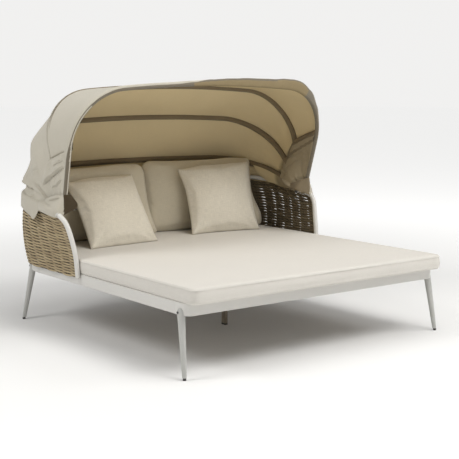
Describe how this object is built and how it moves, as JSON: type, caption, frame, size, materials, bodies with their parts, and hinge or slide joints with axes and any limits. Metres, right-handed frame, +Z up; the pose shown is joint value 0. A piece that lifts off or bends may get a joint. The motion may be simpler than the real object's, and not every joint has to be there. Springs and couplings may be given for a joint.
{
  "type": "outdoor daybed with canopy",
  "caption": "Square garden daybed on tapered legs with a woven back, a folding cloth canopy on hinged bows, a mattress and loose cushions.",
  "frame": {"origin": "on the floor, under the middle of the centre leg's glide", "axes": "+X to the right for someone who stands in front of the bed; +Y towards the woven back; +Z up"},
  "size_m": [1.948, 1.9369, 1.4385],
  "materials": {
    "white_frame": "satin",
    "leg_finish": "satin",
    "taupe_metal": "satin",
    "dark_plastic": "matte",
    "clamp_steel": "satin",
    "wicker": "matte",
    "canopy_cloth": "matte",
    "mattress_cloth": "matte",
    "cushion_cloth": "matte",
    "pillow_cloth": "matte"
  },
  "bodies": {
    "bed": {"front_rail": "white_frame", "rear_rail": "white_frame", "side_rail_left": "white_frame", "side_rail_right": "white_frame", "slat_01": "taupe_metal", "slat_02": "taupe_metal", "slat_03": "taupe_metal", "slat_04": "taupe_metal", "slat_05": "taupe_metal", "slat_06": "taupe_metal", "slat_07": "taupe_metal", "slat_08": "taupe_metal", "slat_09": "taupe_metal", "slat_10": "taupe_metal", "slat_11": "taupe_metal", "slat_12": "taupe_metal", "slat_ledge_left": "white_frame", "slat_ledge_right": "white_frame", "centre_beam": "white_frame", "centre_leg": "taupe_metal", "centre_leg_glide": "dark_plastic", "leg_front_left": "leg_finish", "glide_front_left": "dark_plastic", "leg_bolt_front_left": "dark_plastic", "leg_front_right": "leg_finish", "glide_front_right": "dark_plastic", "leg_bolt_front_right": "dark_plastic", "leg_rear_left": "leg_finish", "glide_rear_left": "dark_plastic", "leg_bolt_rear_left": "dark_plastic", "leg_rear_right": "leg_finish", "glide_rear_right": "dark_plastic", "leg_bolt_rear_right": "dark_plastic", "back_hoop": "white_frame", "wicker_shell": "wicker", "hinge_clamp_left": "clamp_steel", "pivot_pin_left": "dark_plastic", "pivot_washer_front_left": "dark_plastic", "pivot_washer_second_left": "dark_plastic", "pivot_washer_third_left": "dark_plastic", "pivot_washer_rear_left": "dark_plastic", "hinge_clamp_right": "clamp_steel", "pivot_pin_right": "dark_plastic", "pivot_washer_front_right": "dark_plastic", "pivot_washer_second_right": "dark_plastic", "pivot_washer_third_right": "dark_plastic", "pivot_washer_rear_right": "dark_plastic", "canopy_skirt": "canopy_cloth", "mattress": "mattress_cloth", "back_cushion_left": "cushion_cloth", "back_cushion_right": "cushion_cloth", "throw_pillow_left": "pillow_cloth", "throw_pillow_right": "pillow_cloth"},
    "rear_bow": {"bow_rear": "white_frame"},
    "third_bow": {"bow_third": "white_frame", "gore_rear": "canopy_cloth"},
    "second_bow": {"bow_second": "white_frame", "gore_middle": "canopy_cloth"},
    "front_bow": {"bow_front": "white_frame", "gore_front": "canopy_cloth"}
  },
  "joints": [
    {"name": "rear_bow_fold", "type": "hinge", "parent": "bed", "child": "rear_bow", "pos_m": [0, 0.31, 0.73], "axis": [-1, 0, 0], "range_deg": [0, 6], "deforming": ["canopy_skirt"]},
    {"name": "third_bow_fold", "type": "hinge", "parent": "rear_bow", "child": "third_bow", "pos_m": [0, 0.31, 0.73], "axis": [-1, 0, 0], "range_deg": [0, 20], "deforming": ["gore_rear"]},
    {"name": "second_bow_fold", "type": "hinge", "parent": "third_bow", "child": "second_bow", "pos_m": [0, 0.31, 0.73], "axis": [-1, 0, 0], "range_deg": [0, 22], "deforming": ["gore_middle"]},
    {"name": "front_bow_fold", "type": "hinge", "parent": "second_bow", "child": "front_bow", "pos_m": [0, 0.31, 0.73], "axis": [-1, 0, 0], "range_deg": [0, 30], "deforming": ["gore_front"]}
  ],
  "couplings": [
    {"joint": "rear_bow_fold", "follows": "front_bow_fold", "ratio": 0.2},
    {"joint": "third_bow_fold", "follows": "front_bow_fold", "ratio": 0.6666},
    {"joint": "second_bow_fold", "follows": "front_bow_fold", "ratio": 0.7333}
  ]
}
